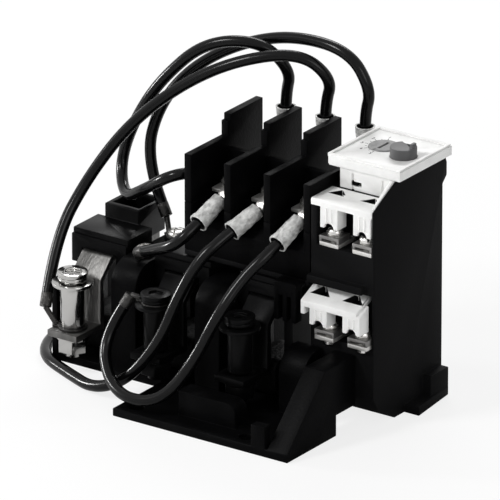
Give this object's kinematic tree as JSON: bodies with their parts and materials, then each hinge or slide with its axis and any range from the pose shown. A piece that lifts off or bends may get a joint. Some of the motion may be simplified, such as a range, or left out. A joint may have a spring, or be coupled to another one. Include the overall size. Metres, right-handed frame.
{
  "type": "thermal overload relay",
  "caption": "Three-pole thermal overload relay on a frame with three current transformers, looped jumper leads, setting dial and reset knob.",
  "frame": {"origin": "centre of the mounting plane under the object, without its leads", "axes": "+Z away from the mounting panel, -Y towards the three primary terminals, +X towards the auxiliary contacts"},
  "size_m": [0.152, 0.0942, 0.1248],
  "materials": {
    "black_moulding": "moulded, satin",
    "black_housing": "fine-grained moulding",
    "black_cover": "smooth moulding",
    "white_plastic": "smooth moulding",
    "grey_plastic": "smooth moulding",
    "core_steel": "varnished laminations",
    "winding_tape": "wound black tape",
    "bright_bar": "tinned, satin",
    "polished_steel": "bright zinc",
    "nickel_screw": "bright nickel",
    "nickel_plate": "nickel plated",
    "tinned_lug": "tinned",
    "clear_sleeve": "translucent",
    "black_pvc": "glossy insulation",
    "inner_nylon": "natural nylon",
    "spring_steel": "drawn wire",
    "bimetal": "bimetal strip",
    "heater_alloy": "heater strip",
    "contact_brass": "bright"
  },
  "bodies": {
    "frame": {"base_frame": "black_moulding", "side_guard": "black_moulding", "relay_housing": "black_housing", "pole_block": "black_housing", "phase_barriers": "black_housing", "ct_cover_1": "black_cover", "ct_cover_2": "black_cover", "ct_cover_3": "black_cover", "setting_cover": "white_plastic", "upper_shroud": "white_plastic", "lower_shroud": "white_plastic", "ct_core_1": "core_steel", "ct_core_2": "core_steel", "ct_core_3": "core_steel", "ct_coil_1": "winding_tape", "ct_coil_2": "winding_tape", "ct_coil_3": "winding_tape", "primary_bar_1": "bright_bar", "primary_bar_2": "bright_bar", "primary_bar_3": "bright_bar", "clamp_sleeves": "polished_steel", "primary_bolts": "polished_steel", "primary_nuts": "polished_steel", "rear_bolts": "polished_steel", "primary_washers": "polished_steel", "front_pole_screws": "nickel_screw", "rear_pole_screws": "nickel_screw", "aux_screws": "nickel_screw", "end_screws": "nickel_screw", "front_pole_plates": "nickel_plate", "rear_pole_plates": "nickel_plate", "aux_plates": "nickel_plate", "aux_saddles": "nickel_plate", "front_lugs": "tinned_lug", "rear_lugs": "tinned_lug", "end_lugs": "tinned_lug", "front_sleeves": "clear_sleeve", "rear_sleeves": "clear_sleeve", "lead_rear_1": "black_pvc", "lead_rear_2": "black_pvc", "lead_rear_3": "black_pvc", "lead_front_1": "black_pvc", "lead_front_2": "black_pvc", "lead_front_3": "black_pvc", "setting_frame": "inner_nylon", "carrier_guide": "inner_nylon", "lever_pin": "spring_steel", "bimetal_strips": "bimetal", "heater_windings": "heater_alloy", "fixed_contacts": "contact_brass"},
    "dial": {"setting_dial": "grey_plastic", "setting_cam": "inner_nylon"},
    "selector": {"reset_hub": "inner_nylon", "reset_spring": "spring_steel"},
    "reset": {"reset_knob": "grey_plastic"},
    "test": {"test_slider": "inner_nylon"},
    "push": {"push_bar": "inner_nylon"},
    "trip": {"trip_lever": "inner_nylon"},
    "carrier": {"contact_carrier": "inner_nylon", "contact_bridges": "contact_brass"}
  },
  "joints": [
    {"name": "setting_dial_turn", "type": "hinge", "parent": "frame", "child": "dial", "pos_m": [0.0456, 0.0304, 0.0951], "axis": [0, 0, 1], "range_deg": [-135, 135]},
    {"name": "reset_selector_turn", "type": "hinge", "parent": "frame", "child": "selector", "pos_m": [0.0568, 0.0266, 0.0849], "axis": [0, 0, 1], "range_deg": [0, 90]},
    {"name": "reset_push", "type": "slide", "parent": "selector", "child": "reset", "axis": [0, 0, -1], "range_m": [0, 0.0025], "stiffness_N_per_m": 500, "springref_m": -0.001, "deforming": ["reset_spring"]},
    {"name": "test_slide", "type": "slide", "parent": "frame", "child": "test", "axis": [1, 0, 0], "range_m": [0, 0.0015], "stiffness_N_per_m": 300, "springref_m": -0.001},
    {"name": "push_bar_slide", "type": "slide", "parent": "frame", "child": "push", "axis": [1, 0, 0], "range_m": [0, 0.0016], "stiffness_N_per_m": 400, "springref_m": -0.001},
    {"name": "trip_lever_turn", "type": "hinge", "parent": "frame", "child": "trip", "pos_m": [0.046, 0.024, 0.068], "axis": [0, 1, 0], "range_deg": [-9, 0]},
    {"name": "carrier_slide", "type": "slide", "parent": "frame", "child": "carrier", "axis": [0, 0, 1], "range_m": [0, 0.0012]}
  ],
  "couplings": [
    {"joint": "trip_lever_turn", "follows": "push_bar_slide", "rad_per_m": -95.238},
    {"joint": "carrier_slide", "follows": "push_bar_slide", "ratio": 0.75}
  ]
}
